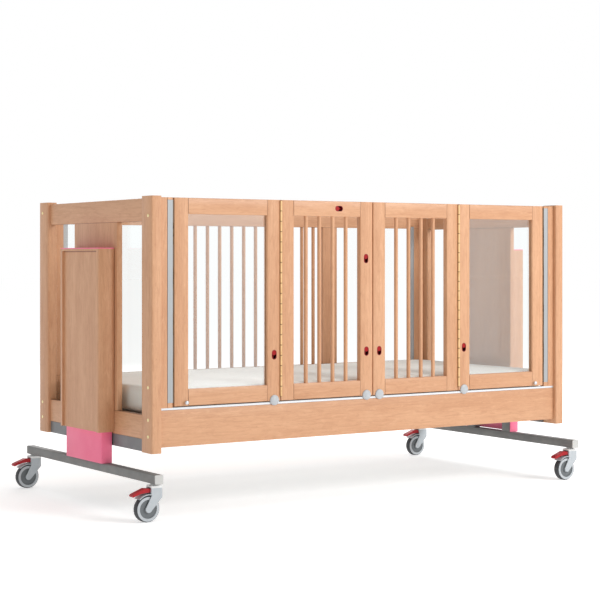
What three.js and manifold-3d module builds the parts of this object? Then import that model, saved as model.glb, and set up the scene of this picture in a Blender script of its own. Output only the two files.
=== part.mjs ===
// A pediatric hospital cot: a beech cot with four folding doors on a castered, height-adjustable base.
// Millimetres, +Z up, the floor at Z = 0, +X along the cot, the doors on the -Y side.

import * as THREE from 'three';
import { mergeVertices } from 'three/addons/utils/BufferGeometryUtils.js';
import Module from 'manifold-3d';

// Overall sizes over the corner posts, and the fits shared by all pieces
const COT_LENGTH = 2100;
const COT_WIDTH = 1020;
const FIT = 0.3; // gap between pieces that touch
const GLUE = 0.5; // how far a glued or welded end runs into its neighbour
const EDGE = 3; // rounding of the timber edges
const ROUND_STEPS = 1; // fineness of rounded edges

// Corner posts
const POST_ALONG = 43;
const POST_ACROSS = 85;
const POST_FOOT = 248;
const POST_LENGTH = 984;
const POST_EDGE = 5;

// Side walls: boards, doors and the rear frame share one thickness
const WALL_RECESS = 16;
const WALL_THICKNESS = 26;
const WALL_TOP_DROP = 5; // wall tops below the post tops
const BOARD_RISE = 20; // side boards above the feet of the posts
const BOARD_HEIGHT = 142;
const TRACK_HEIGHT = 8;
const TRACK_SETBACK = 1;
const TRACK_GROOVE_WIDTH = 10;
const TRACK_GROOVE_DEPTH = 5.5;
const PANE_THICKNESS = 5;
const PANE_LAP = 10; // pane edge covered by the timber
const PANE_REBATE = 14;
const BAR_RADIUS = 8.25;
const BAR_SIDES = 12;
const BAR_TENON = 6;

// Doors
const FOLD_X = 457; // piano hinge line from the middle of the cot
const MEETING_GAP = 4; // between the two inner doors
const DOOR_GAP = 4.7; // door bottoms above the track
const DOOR_STILE = 62;
const DOOR_TOP_RAIL = 63;
const DOOR_BOTTOM_RAIL = 64;
const DOOR_BARS = 4;
const DISC_RADIUS = 21;
const DISC_THICKNESS = 5;
const DISC_INSET = 31; // disc and catch centres from a door's edge line
const DISC_LAP = 3; // disc centres above the door bottoms
const DISC_SIDES = 20;

// Jambs and their aluminium hinge strips
const JAMB_WIDTH = 57;
const STRIP_WIDTH = 23;
const STRIP_THICKNESS = 2;
const STRIP_BOTTOM_MARGIN = 14; // strip ends inside the door's height
const STRIP_TOP_MARGIN = 9;
const STRIP_GROOVE = 2;
const STRIP_GROOVE_DEPTH = 12;
const JAMB_GAP = 6.5; // from the jamb to the door
const JAMB_KNUCKLE_RADIUS = 2.8;
const JAMB_PIN_RADIUS = 1.2;
const JAMB_KNUCKLES = 9;

// Piano hinges between the doors
const PIANO_KNUCKLE_RADIUS = 4.2;
const PIANO_PIN_RADIUS = 1.6;
const PIANO_KNUCKLES = 19;
const PIANO_PROUD = 3.2; // hinge axis in front of the door faces
const PIANO_BOTTOM_MARGIN = 16;
const PIANO_TOP_MARGIN = 3;
const LEAF_THICKNESS = 1;
const LEAF_DEPTH = 20;
const PIN_PLAY = 0.5;
const KNUCKLE_PLAY = 0.4;
const HINGE_SIDES = 8;

// Catches: sliders in capsule pockets, each with a bolt inside the door
const POCKET_WIDTH = 20;
const POCKET_LENGTH = 36;
const POCKET_DEPTH = 16;
const SLIDER_LENGTH = 20;
const SLIDER_SETBACK = 1;
const BOLT_RADIUS = 3.5;
const BORE_RADIUS = 4;
const KEEP_RADIUS = 6.2;
const KEEP_DEPTH = 14;
const BOLT_SIDES = 10;
const LOW_CATCH_RISE = 184.5; // low catches above the door bottoms
const HIGH_CATCH_RISE = 569;
const HIGH_CATCH_TAIL = 60;
const TOP_CATCH_DROP = 30; // top catch below the door tops
const TOP_CATCH_X = 171.5;

// Rear wall
const REAR_BAY = 814; // clear width of the barred bay
const REAR_STILE = 82;
const REAR_END_STILE = 60;
const REAR_TOP_RAIL = 86;
const REAR_BOTTOM_RAIL = 77;
const REAR_BARS = 12;
const REAR_BAR_PITCH = 65;

// End walls
const END_RECESS = 12;
const END_THICKNESS = 26;
const END_TOP_DROP = 8;
const END_TOP_RAIL = 88;
const END_BOTTOM_RISE = 48; // bottom rail above the feet of the posts
const END_BOTTOM_RAIL = 93;
const END_PANEL_WIDTH = 388;
const END_PANEL_SETBACK = 2;

// Column covers, their lids, and the painted lift covers inside them
const COVER_RISE = 7; // above the end wall's bottom edge
const COVER_HEIGHT = 728;
const COVER_WIDTH = 350;
const COVER_DEPTH = 71;
const COVER_LIP = 18;
const COVER_TOP_LIP = 8;
const COVER_INSET = 9; // panel behind the lips
const COVER_CLEARANCE = 1.5;
const LID_THICKNESS = 3.7;
const LIFT_COVER_WIDTH = 324;
const LIFT_COVER_DEPTH = 49;
const LIFT_COVER_OFFSET = 2; // from the end wall
const LIFT_COVER_WALL = 3;
const LIFT_COVER_EDGE = 5;

// Lying frame
const BEAM_WIDTH = 36;
const BEAM_WALL = 6;
const BEAM_SETBACK = 2;
const SIDE_BEAM_WIDTH = 6;
const SIDE_BEAM_RISE = 6; // underside above the bottom of the side boards
const SLATS = 15;
const SLAT_WIDTH = 60;
const SLAT_THICKNESS = 5;
const SLAT_SIDE_GAP = 10; // slat ends from the inner faces of the walls
const SLAT_END_MARGIN = 45;
const CARRIAGE_WALL = 6;
const CARRIAGE_DEPTH = 30;
const CARRIAGE_HEIGHT = 300;

// Mattress
const MATTRESS_RISE = 113; // underside above the bottom of the side boards
const MATTRESS_THICKNESS = 120;
const MATTRESS_END_GAP = 6.7;
const MATTRESS_SIDE_GAP = 18;
const MATTRESS_CORNER = 45;
const MATTRESS_DRAW = 7; // how far the sides draw in between the corners
const MATTRESS_CROWN = 7;
const MATTRESS_SIDE_POINTS = 10;
const MATTRESS_CORNER_POINTS = 4;
const MATTRESS_TOP_RINGS = 5;

// Feet: bar and lifting columns
const BAR_SIZE = 35;
const BAR_WALL = 3;
const BAR_OFFSET = 20.5; // bar's middle from the outer face of the end wall
const BAR_REACH = 74; // past the posts
const END_CAP = 24;
const COLUMN_WIDTH = 57;
const COLUMN_SPREAD = 128.5;
const COLUMN_DROP = 31; // column tops below the cover's top

// Castors, in their own frame: the swivel axis at x = 0, trailing towards +x
const CASTOR_HEIGHT = 143; // floor to the underside of the bar
const CASTOR_INSET = 38; // swivel axis from the bar's end
const CASTOR_TRAIL = 34;
const COLLAR_RADIUS = 16;
const COLLAR_HEIGHT = 5.7;
const STEM_RADIUS = 5;
const STEM_LENGTH = 13;
const WHEEL_RADIUS = 50;
const WHEEL_WIDTH = 31;
const WHEEL_SIDES = 24;
const WHEEL_RIM_DEPTH = 14; // inner edge of the side rings, in from the tread
const WHEEL_SHOULDER_DEPTH = 3.5;
const WHEEL_TREAD = 20;
const WHEEL_DISH = 3;
const HUB_RADIUS = 14;
const AXLE_RADIUS = 4;
const AXLE_PLAY = 0.6;
const FORK_WIDTH = 43;
const FORK_WALL = 4;
const FORK_BACK = 22;
const FORK_FRONT = 24;
const FORK_SHOULDER_DROP = 51; // below the bar
const FORK_BOSS = 13;
const FENDER_GAP = 3.5; // over the tread
const FENDER_WALL = 3;
const FENDER_END = Math.PI / 4;
const PEDAL_PIVOT_TRAIL = 18.5;
const PEDAL_PIVOT_DROP = 24; // below the bar
const PEDAL_ROOT = 6;
const PEDAL_PIN_RADIUS = 2.5;
const PEDAL_WIDTH = 28;
const PEDAL_REACH = 101;
const PEDAL_SLOT_HEIGHT = 22;

const wasm = await Module();
wasm.setup();

const WELD = 1e-4;

// Finishes
function finish(color, roughness, metalness = 0) {
  return new THREE.MeshStandardMaterial({ color, roughness, metalness });
}
const beech = finish(0xe0ae86, 0.45);
const clear = finish(0xeaf2f2, 0.05);
clear.transparent = true;
clear.opacity = 0.25;
const pink = finish(0xde7591, 0.45);
const steel = finish(0x7d7d7d, 0.5, 0.4);
const aluminium = finish(0xc8cdd0, 0.35, 0.9);
const bronze = finish(0x4a3526, 0.5, 0.6);
const brass = finish(0xeec896, 0.35, 0.8);
const greyPlastic = finish(0xd7dadc, 0.5);
const redPlastic = finish(0xc83238, 0.4);
const forkPlastic = finish(0xcdd4d8, 0.45);
const wheelRubber = finish(0x46484b, 0.7);
const cover = finish(0xe8e4de, 0.9);

// Booleans on closed meshes
function solidOf(geometry) {
  const bare = new THREE.BufferGeometry();
  bare.setAttribute('position', geometry.getAttribute('position'));
  bare.setIndex(geometry.getIndex());
  const welded = mergeVertices(bare, WELD);
  const index = welded.getIndex().array;
  const triangles = [];
  for (let i = 0; i < index.length; i += 3) {
    const [a, b, c] = [index[i], index[i + 1], index[i + 2]];
    if (a !== b && b !== c && c !== a) triangles.push(a, b, c);
  }
  return new wasm.Manifold(new wasm.Mesh({
    numProp: 3,
    vertProperties: new Float32Array(welded.getAttribute('position').array),
    triVerts: new Uint32Array(triangles),
  }));
}

function geometryOf(solid) {
  const mesh = solid.getMesh();
  const geometry = new THREE.BufferGeometry();
  geometry.setAttribute('position', new THREE.BufferAttribute(mesh.vertProperties, 3));
  geometry.setIndex(new THREE.BufferAttribute(mesh.triVerts, 1));
  return geometry;
}

function join(...pieces) {
  return geometryOf(pieces.map(solidOf).reduce((whole, piece) => whole.add(piece)));
}

function cut(body, ...tools) {
  return geometryOf(tools.map(solidOf).reduce((rest, tool) => rest.subtract(tool), solidOf(body)));
}

// Basic forms, each given by its ranges along X, Y and Z
function box([x0, x1], [y0, y1], [z0, z1]) {
  const geometry = new THREE.BoxGeometry(x1 - x0, y1 - y0, z1 - z0);
  return geometry.translate((x0 + x1) / 2, (y0 + y1) / 2, (z0 + z1) / 2);
}

const X = new THREE.Vector3(1, 0, 0);
const Y = new THREE.Vector3(0, 1, 0);
const Z = new THREE.Vector3(0, 0, 1);
const AXES = {
  x: new THREE.Matrix4().makeBasis(Y, Z, X),
  y: new THREE.Matrix4().makeBasis(X, Z, Y.clone().negate()),
  z: new THREE.Matrix4(),
};

// An outline pushed along an axis: (y, z) along x, (x, z) along y, (x, y) along z
function extrude(shape, axis, [from, to]) {
  const settings = { depth: to - from, bevelEnabled: false, curveSegments: ROUND_STEPS };
  const geometry = new THREE.ExtrudeGeometry(shape, settings);
  geometry.translate(0, 0, axis === 'y' ? -to : from);
  return geometry.applyMatrix4(AXES[axis]);
}

function roundedRectangle([x0, x1], [y0, y1], radius) {
  const shape = new THREE.Shape();
  shape.moveTo(x0 + radius, y0);
  shape.absarc(x1 - radius, y0 + radius, radius, -Math.PI / 2, 0, false);
  shape.absarc(x1 - radius, y1 - radius, radius, 0, Math.PI / 2, false);
  shape.absarc(x0 + radius, y1 - radius, radius, Math.PI / 2, Math.PI, false);
  shape.absarc(x0 + radius, y0 + radius, radius, Math.PI, 1.5 * Math.PI, false);
  return shape;
}

// A bar with rounded long edges, running along one axis
function timber(axis, x, y, z, radius = EDGE) {
  if (axis === 'x') return extrude(roundedRectangle(y, z, radius), 'x', x);
  if (axis === 'y') return extrude(roundedRectangle(x, z, radius), 'y', y);
  return extrude(roundedRectangle(x, y, radius), 'z', z);
}

// A round rod along an axis through a point of the other two
function rod(axis, [from, to], [a, b], radius, sides) {
  const geometry = new THREE.CylinderGeometry(radius, radius, to - from, sides);
  const middle = (from + to) / 2;
  if (axis === 'x') return geometry.rotateZ(-Math.PI / 2).translate(middle, a, b);
  if (axis === 'y') return geometry.translate(a, middle, b);
  return geometry.rotateX(Math.PI / 2).translate(a, b, middle);
}

function capsule(width, height) {
  const radius = Math.min(width, height) / 2;
  return roundedRectangle([-width / 2, width / 2], [-height / 2, height / 2], radius - WELD);
}

function around(middle, size) {
  return [middle - size / 2, middle + size / 2];
}

// A moving body's group stands at its joint, so turning or sliding the group moves the body.
function pivot(parent, x, y, z) {
  const group = new THREE.Group();
  group.userData.at = new THREE.Vector3(x, y, z);
  group.position.copy(group.userData.at).sub(parent.userData.at);
  parent.add(group);
  return group;
}

function add(group, name, material, geometry) {
  const { x, y, z } = group.userData.at;
  const mesh = new THREE.Mesh(geometryOf(solidOf(geometry)).translate(-x, -y, -z), material);
  mesh.name = name;
  group.add(mesh);
}

// Planes and heights worked out from the driving sizes; the pieces below lie on the +X half
const postTop = POST_FOOT + POST_LENGTH;
const postOuterX = COT_LENGTH / 2;
const postInnerX = postOuterX - POST_ALONG;
const postOuterY = COT_WIDTH / 2;
const postInnerY = postOuterY - POST_ACROSS;
const wallOuter = postOuterY - WALL_RECESS;
const wallInner = wallOuter - WALL_THICKNESS;
const wallTop = postTop - WALL_TOP_DROP;
const frontWall = [-wallOuter, -wallInner];
const rearWall = [wallInner, wallOuter];
const boardBottom = POST_FOOT + BOARD_RISE;
const boardTop = boardBottom + BOARD_HEIGHT;
const trackTop = boardTop + FIT + TRACK_HEIGHT;
const doorBottom = trackTop + DOOR_GAP;
const doorMiddleY = (frontWall[0] + frontWall[1]) / 2;
const boltY = doorMiddleY;
const jambInnerX = postInnerX - JAMB_WIDTH;
const strip = [doorBottom + STRIP_BOTTOM_MARGIN, wallTop - STRIP_TOP_MARGIN];
const jambHinge = { x: jambInnerX - JAMB_GAP / 2, y: -wallOuter + JAMB_KNUCKLE_RADIUS };
const doorOuterX = jambInnerX - JAMB_GAP;
const foldHinge = { x: FOLD_X, y: -wallOuter - PIANO_PROUD };
const piano = [doorBottom + PIANO_BOTTOM_MARGIN, wallTop - PIANO_TOP_MARGIN];
const foldHalfGap = FIT / 2 + LEAF_THICKNESS + FIT;
const outerDoor = [FOLD_X + foldHalfGap, doorOuterX];
const innerDoor = [MEETING_GAP / 2, FOLD_X - foldHalfGap];
const window = [doorBottom + DOOR_BOTTOM_RAIL, wallTop - DOOR_TOP_RAIL];
const lowCatchZ = doorBottom + LOW_CATCH_RISE;
const endOuter = postOuterX - END_RECESS;
const endInner = endOuter - END_THICKNESS;
const endBottom = POST_FOOT + END_BOTTOM_RISE;
const endWindow = [endBottom + END_BOTTOM_RAIL, postTop - END_TOP_DROP - END_TOP_RAIL];
const endPane = [endInner - FIT - PANE_THICKNESS, endInner - FIT];
const coverOuter = endOuter + COVER_DEPTH;
const coverBottom = endBottom + COVER_RISE;
const coverTop = coverBottom + COVER_HEIGHT;
const liftCoverX = [endOuter + LIFT_COVER_OFFSET, endOuter + LIFT_COVER_OFFSET + LIFT_COVER_DEPTH];
const mattressBottom = boardBottom + MATTRESS_RISE;
const footX = endOuter + BAR_OFFSET;
const barTop = CASTOR_HEIGHT + BAR_SIZE;
const barEnd = postOuterY + BAR_REACH;
const castorY = barEnd - CASTOR_INSET;
const axleZ = WHEEL_RADIUS * Math.cos(Math.PI / WHEEL_SIDES);
const forkTop = CASTOR_HEIGHT - COLLAR_HEIGHT - FIT;
const fenderInner = WHEEL_RADIUS + FENDER_GAP;
const fenderOuter = fenderInner + FENDER_WALL;
const pedalPivot = [PEDAL_PIVOT_TRAIL, CASTOR_HEIGHT - PEDAL_PIVOT_DROP];

// Corner posts; the front ones carry the jamb that the hinge strip lies in
function post(y) {
  const x = [postInnerX, postOuterX];
  return timber('z', x, y, [POST_FOOT, postTop], POST_EDGE);
}

function frontPost() {
  const plain = post([-postOuterY, -postInnerY]);
  const jamb = timber('z', [jambInnerX, postInnerX + POST_EDGE + GLUE], frontWall, [trackTop + FIT, wallTop]);
  const stripX = [jambInnerX - GLUE, jambInnerX + STRIP_WIDTH + STRIP_GROOVE];
  const rebate = box(stripX, [-wallOuter - GLUE, -wallOuter + STRIP_THICKNESS + FIT], strip);
  const grooveX = [jambInnerX + STRIP_WIDTH, jambInnerX + STRIP_WIDTH + STRIP_GROOVE];
  const groove = box(grooveX, [-wallOuter - GLUE, -wallOuter + STRIP_GROOVE_DEPTH], [0, postTop]);
  return cut(join(plain, jamb), rebate, groove);
}

// Hinges: knuckles share the length, even ones on the first leaf, odd ones on the second
function knuckleSpans([bottom, top], count, first) {
  const pitch = (top - bottom) / count;
  const spans = [];
  for (let i = first; i < count; i += 2) {
    spans.push([bottom + i * pitch + KNUCKLE_PLAY / 2, bottom + (i + 1) * pitch - KNUCKLE_PLAY / 2]);
  }
  return spans;
}

// A leaf plate in the (y, z) plane, cut back from the knuckles of the other leaf
function leafPlate(x, hinge, span, radius, otherKnuckles) {
  const plate = box(x, [hinge.y, hinge.y + LEAF_DEPTH], span);
  const notches = otherKnuckles.map(([z0, z1]) => box(
    [x[0] - GLUE, x[1] + GLUE],
    [hinge.y - radius, hinge.y + radius + PIN_PLAY],
    [z0 - KNUCKLE_PLAY, z1 + KNUCKLE_PLAY],
  ));
  return cut(plate, ...notches);
}

function knuckles(hinge, spans, radius) {
  return spans.map((z) => rod('z', z, [hinge.x, hinge.y], radius, HINGE_SIDES));
}

// The leaf that holds the pin
function pinnedLeaf(x, hinge, span, count, first, radius, pinRadius) {
  const own = knuckleSpans(span, count, first);
  const others = knuckleSpans(span, count, 1 - first);
  const plate = leafPlate(x, hinge, span, radius, others);
  const pinSpan = [span[0] + KNUCKLE_PLAY, span[1] - KNUCKLE_PLAY];
  const pin = rod('z', pinSpan, [hinge.x, hinge.y], pinRadius, HINGE_SIDES);
  return join(plate, ...knuckles(hinge, own, radius), pin);
}

// The leaf whose knuckles turn on the pin
function boredLeaf(x, hinge, span, count, first, radius, pinRadius) {
  const own = knuckleSpans(span, count, first);
  const others = knuckleSpans(span, count, 1 - first);
  const plate = leafPlate(x, hinge, span, radius, others);
  const boreSpan = [span[0] - GLUE, span[1] + GLUE];
  const bore = rod('z', boreSpan, [hinge.x, hinge.y], pinRadius + PIN_PLAY, HINGE_SIDES);
  return cut(join(plate, ...knuckles(hinge, own, radius)), bore);
}

// The aluminium strip on the jamb, with its knuckles in the gap beside the door
function jambStrip() {
  const spans = knuckleSpans(strip, JAMB_KNUCKLES, 0);
  const front = [-wallOuter, -wallOuter + STRIP_THICKNESS];
  const stripZ = [strip[0] + FIT, strip[1] - FIT];
  const plate = box([jambInnerX + FIT, jambInnerX + STRIP_WIDTH - FIT], front, stripZ);
  const tabX = [jambHinge.x, jambInnerX + FIT + GLUE];
  const within = ([z0, z1]) => [Math.max(z0, stripZ[0]), Math.min(z1, stripZ[1])];
  const tabs = spans.map((z) => box(tabX, front, within(z)));
  const bore = rod('z', strip, [jambHinge.x, jambHinge.y], JAMB_PIN_RADIUS + PIN_PLAY, HINGE_SIDES);
  return cut(join(plate, ...tabs, ...knuckles(jambHinge, spans, JAMB_KNUCKLE_RADIUS)), bore);
}

function doorLeaf() {
  const x = [doorOuterX + FIT, doorOuterX + FIT + LEAF_THICKNESS];
  return pinnedLeaf(x, jambHinge, strip, JAMB_KNUCKLES, 1, JAMB_KNUCKLE_RADIUS, JAMB_PIN_RADIUS);
}

function pianoOuterLeaf() {
  const x = [FOLD_X + FIT / 2, FOLD_X + FIT / 2 + LEAF_THICKNESS];
  return pinnedLeaf(x, foldHinge, piano, PIANO_KNUCKLES, 0, PIANO_KNUCKLE_RADIUS, PIANO_PIN_RADIUS);
}

function pianoInnerLeaf() {
  const x = [FOLD_X - FIT / 2 - LEAF_THICKNESS, FOLD_X - FIT / 2];
  return boredLeaf(x, foldHinge, piano, PIANO_KNUCKLES, 1, PIANO_KNUCKLE_RADIUS, PIANO_PIN_RADIUS);
}

// A door frame: two full-height stiles with rails between them
function doorFrame([x0, x1]) {
  const stileX = [[x0, x0 + DOOR_STILE], [x1 - DOOR_STILE, x1]];
  const stiles = stileX.map((x) => timber('z', x, frontWall, [doorBottom, wallTop]));
  const railX = [x0 + DOOR_STILE - GLUE, x1 - DOOR_STILE + GLUE];
  const rails = [[doorBottom, window[0]], [window[1], wallTop]].map((z) => timber('x', railX, frontWall, z));
  return join(...stiles, ...rails);
}

// A catch: where its pocket is, and where its bolt and the bore for the bolt end
function uprightCatch(x, z, boltEnd, boreEnd) {
  return { x, z, upright: true, boltEnd, boreEnd };
}

function catchPocket(place) {
  const shape = place.upright ? capsule(POCKET_WIDTH, POCKET_LENGTH) : capsule(POCKET_LENGTH, POCKET_WIDTH);
  const pocket = extrude(shape, 'y', [-wallOuter - GLUE, -wallOuter + POCKET_DEPTH]);
  pocket.translate(place.x, 0, place.z);
  return pocket;
}

// The bolt, or the bore it runs in, reaching from its end to just short of or past the pocket's middle
function catchRod(place, end, past, radius) {
  if (place.upright) return rod('z', [end, place.z + past], [place.x, boltY], radius, BOLT_SIDES);
  return rod('x', [end, place.x + past], [boltY, place.z], radius, BOLT_SIDES);
}

function catchSlider(place) {
  const width = POCKET_WIDTH - 2 * FIT;
  const shape = place.upright ? capsule(width, SLIDER_LENGTH) : capsule(SLIDER_LENGTH, width);
  const slider = extrude(shape, 'y', [-wallOuter + SLIDER_SETBACK, -wallOuter + POCKET_DEPTH - FIT]);
  const shift = (POCKET_LENGTH - SLIDER_LENGTH) / 2 - FIT;
  slider.translate(place.x + (place.upright ? 0 : shift), 0, place.z + (place.upright ? shift : 0));
  return join(slider, catchRod(place, place.boltEnd, 0, BOLT_RADIUS));
}

function boredDoor(door, catches) {
  const cuts = catches.flatMap((place) => [
    catchPocket(place),
    catchRod(place, place.boreEnd, FIT, BORE_RADIUS),
  ]);
  return cut(door, ...cuts);
}

function outerDoorFrame(catches) {
  const rebateX = [outerDoor[0] + DOOR_STILE - PANE_LAP, outerDoor[1] - DOOR_STILE + PANE_LAP];
  const rebateZ = [window[0] - PANE_LAP, window[1] + PANE_LAP];
  const rebate = box(rebateX, [-wallInner - PANE_REBATE, -wallInner + GLUE], rebateZ);
  return boredDoor(cut(doorFrame(outerDoor), rebate), catches);
}

function outerDoorPane() {
  const x = [outerDoor[0] + DOOR_STILE - PANE_LAP + FIT, outerDoor[1] - DOOR_STILE + PANE_LAP - FIT];
  const y = [-wallInner - PANE_REBATE + FIT, -wallInner - PANE_REBATE + FIT + PANE_THICKNESS];
  return box(x, y, [window[0] - PANE_LAP + FIT, window[1] + PANE_LAP - FIT]);
}

function innerDoorFrame(catches) {
  const opening = [innerDoor[0] + DOOR_STILE, innerDoor[1] - DOOR_STILE];
  const pitch = (opening[1] - opening[0]) / (DOOR_BARS + 1);
  const barZ = [window[0] - BAR_TENON, window[1] + BAR_TENON];
  const bars = [];
  for (let i = 1; i <= DOOR_BARS; i += 1) {
    bars.push(rod('z', barZ, [opening[0] + i * pitch, doorMiddleY], BAR_RADIUS, BAR_SIDES));
  }
  return boredDoor(join(doorFrame(innerDoor), ...bars), catches);
}

// The hole in the facing edge of the other inner door that takes the top catch's bolt
function boltKeep() {
  const x = [innerDoor[0] - GLUE, innerDoor[0] + KEEP_DEPTH];
  return rod('x', x, [boltY, wallTop - TOP_CATCH_DROP], KEEP_RADIUS, BAR_SIDES);
}

// A stop disc with a rounded rim, lapping the track in front of it
function stopDisc(x) {
  const half = DISC_THICKNESS / 2;
  const rim = [[DISC_RADIUS, 0], [DISC_RADIUS, half], [DISC_RADIUS - half, DISC_THICKNESS]];
  const profile = [[0, 0], ...rim, [0, DISC_THICKNESS]];
  const disc = new THREE.LatheGeometry(profile.map(([r, h]) => new THREE.Vector2(r, h)), DISC_SIDES);
  return disc.rotateX(Math.PI).translate(x, -wallOuter - FIT, doorBottom + DISC_LAP);
}

// Boards, track and rear wall run the whole length between the posts
function sideBoard(y) {
  return timber('x', [-postInnerX + FIT, postInnerX - FIT], y, [boardBottom, boardTop]);
}

function doorTrack() {
  const x = [-postInnerX + FIT, postInnerX - FIT];
  const rail = box(x, [-wallOuter + TRACK_SETBACK, -wallInner], [boardTop + FIT, trackTop]);
  const grooveZ = [trackTop - TRACK_GROOVE_DEPTH, trackTop + GLUE];
  return cut(rail, box([x[0] - GLUE, x[1] + GLUE], around(boltY, TRACK_GROOVE_WIDTH), grooveZ));
}

const rearWindow = [boardTop + FIT + REAR_BOTTOM_RAIL, wallTop - REAR_TOP_RAIL];
const rearWindowX = [REAR_BAY / 2 + REAR_STILE, postInnerX - FIT - REAR_END_STILE];

function rearFrame() {
  const z = [boardTop + FIT, wallTop];
  const stileX = [[REAR_BAY / 2, rearWindowX[0]], [rearWindowX[1], postInnerX - FIT]];
  const pieces = [-1, 1].flatMap((side) => stileX.map(([near, far]) => {
    const x = [side * near, side * far].sort((a, b) => a - b);
    return timber('z', x, rearWall, z);
  }));
  const railX = [-rearWindowX[1] - EDGE, rearWindowX[1] + EDGE];
  const railZ = [[z[0], rearWindow[0]], [rearWindow[1], z[1]]];
  const rails = railZ.map((span) => timber('x', railX, rearWall, span));
  const barZ = [rearWindow[0] - BAR_TENON, rearWindow[1] + BAR_TENON];
  const middle = (rearWall[0] + rearWall[1]) / 2;
  const bars = [];
  for (let i = 0; i < REAR_BARS; i += 1) {
    const x = (i - (REAR_BARS - 1) / 2) * REAR_BAR_PITCH;
    bars.push(rod('z', barZ, [x, middle], BAR_RADIUS, BAR_SIDES));
  }
  const rebateZ = [rearWindow[0] - PANE_LAP, rearWindow[1] + PANE_LAP];
  const rebates = [-1, 1].map((side) => {
    const x = [side * (rearWindowX[0] - PANE_LAP), side * (rearWindowX[1] + PANE_LAP)].sort((a, b) => a - b);
    return box(x, [wallInner - GLUE, wallInner + PANE_REBATE], rebateZ);
  });
  return cut(join(...pieces, ...rails, ...bars), ...rebates);
}

function rearPane() {
  const x = [rearWindowX[0] - PANE_LAP + FIT, rearWindowX[1] + PANE_LAP - FIT];
  const y = [wallInner + PANE_REBATE - FIT - PANE_THICKNESS, wallInner + PANE_REBATE - FIT];
  return box(x, y, [rearWindow[0] - PANE_LAP + FIT, rearWindow[1] + PANE_LAP - FIT]);
}

// End walls: two rails and a centre panel glued into one frame, with a clear sheet on its inner face
function endFrame() {
  const y = [-postInnerY + FIT, postInnerY - FIT];
  const x = [endInner, endOuter];
  const bottom = timber('y', x, y, [endBottom, endWindow[0]]);
  const top = timber('y', x, y, [endWindow[1], postTop - END_TOP_DROP]);
  const panelX = [endInner, endOuter - END_PANEL_SETBACK];
  const panelZ = [endWindow[0] - EDGE - GLUE, endWindow[1] + EDGE + GLUE];
  const panel = timber('z', panelX, around(0, END_PANEL_WIDTH), panelZ);
  return join(bottom, top, panel);
}

function endSheet() {
  const z = [endWindow[0] - PANE_LAP, endWindow[1] + PANE_LAP];
  return box(endPane, [-postInnerY + FIT, postInnerY - FIT], z);
}

// A timber cover open to the end wall and below, with its panel set back between lips
function columnCover() {
  const shell = timber('z', [endOuter + FIT, coverOuter], around(0, COVER_WIDTH), [coverBottom, coverTop]);
  const cavityX = [endOuter - GLUE, liftCoverX[1] + COVER_CLEARANCE];
  const cavityY = around(0, LIFT_COVER_WIDTH + 2 * COVER_CLEARANCE);
  const cavity = box(cavityX, cavityY, [coverBottom - GLUE, coverTop + GLUE]);
  const lipY = around(0, COVER_WIDTH - 2 * COVER_LIP);
  const insetZ = [coverBottom - GLUE, coverTop - COVER_TOP_LIP];
  const inset = box([coverOuter - COVER_INSET, coverOuter + GLUE], lipY, insetZ);
  return cut(shell, cavity, inset);
}

function columnLid() {
  const z = [coverTop + FIT, coverTop + FIT + LID_THICKNESS];
  return timber('z', [endOuter + FIT, coverOuter], around(0, COVER_WIDTH), z);
}

function liftCover() {
  const shellZ = [barTop + FIT, coverTop - LIFT_COVER_WALL];
  const shell = timber('z', liftCoverX, around(0, LIFT_COVER_WIDTH), shellZ, LIFT_COVER_EDGE);
  const cavityX = [liftCoverX[0] - GLUE, liftCoverX[1] - LIFT_COVER_WALL];
  const cavityY = around(0, LIFT_COVER_WIDTH - 2 * LIFT_COVER_WALL);
  const open = [liftCoverX[0] - GLUE, liftCoverX[0] + LIFT_COVER_EDGE];
  const z = [barTop - GLUE, coverTop + GLUE];
  return cut(shell, box(cavityX, cavityY, z), box(open, cavityY, z));
}

// A square or oblong tube standing on or lying along an axis
function tube(axis, x, y, z, wall) {
  const inside = ([from, to]) => [from + wall, to - wall];
  const outer = timber(axis, x, y, z);
  if (axis === 'y') return cut(outer, box(inside(x), [y[0] - GLUE, y[1] + GLUE], inside(z)));
  return cut(outer, box(inside(x), inside(y), [z[0] - GLUE, z[1] + GLUE]));
}

// A foot: the floor bar with its end plugs, two lifting columns and the collars of the castors
function foot() {
  const x = around(footX, BAR_SIZE);
  const bar = tube('y', x, [-barEnd, barEnd], [CASTOR_HEIGHT, barTop], BAR_WALL);
  const columnZ = [barTop - GLUE, coverTop - COLUMN_DROP];
  const columnY = [-1, 1].map((side) => around(side * COLUMN_SPREAD, COLUMN_WIDTH));
  const columns = columnY.map((y) => tube('z', x, y, columnZ, BAR_WALL));
  const inset = BAR_WALL - GLUE;
  const plugs = [-1, 1].map((side) => {
    const y = [side * (barEnd - END_CAP), side * barEnd].sort((a, b) => a - b);
    return box([x[0] + inset, x[1] - inset], y, [CASTOR_HEIGHT + inset, barTop - inset]);
  });
  const collarZ = [CASTOR_HEIGHT - COLLAR_HEIGHT, CASTOR_HEIGHT + GLUE];
  const collars = [-1, 1].map((side) => rod('z', collarZ, [footX, side * castorY], COLLAR_RADIUS, BAR_SIDES));
  const boreZ = [collarZ[0] - GLUE, CASTOR_HEIGHT + BAR_WALL + GLUE];
  const boreRadius = STEM_RADIUS + PIN_PLAY;
  const bores = [-1, 1].map((side) => rod('z', boreZ, [footX, side * castorY], boreRadius, BOLT_SIDES));
  return cut(join(bar, ...columns, ...plugs, ...collars), ...bores);
}

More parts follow.
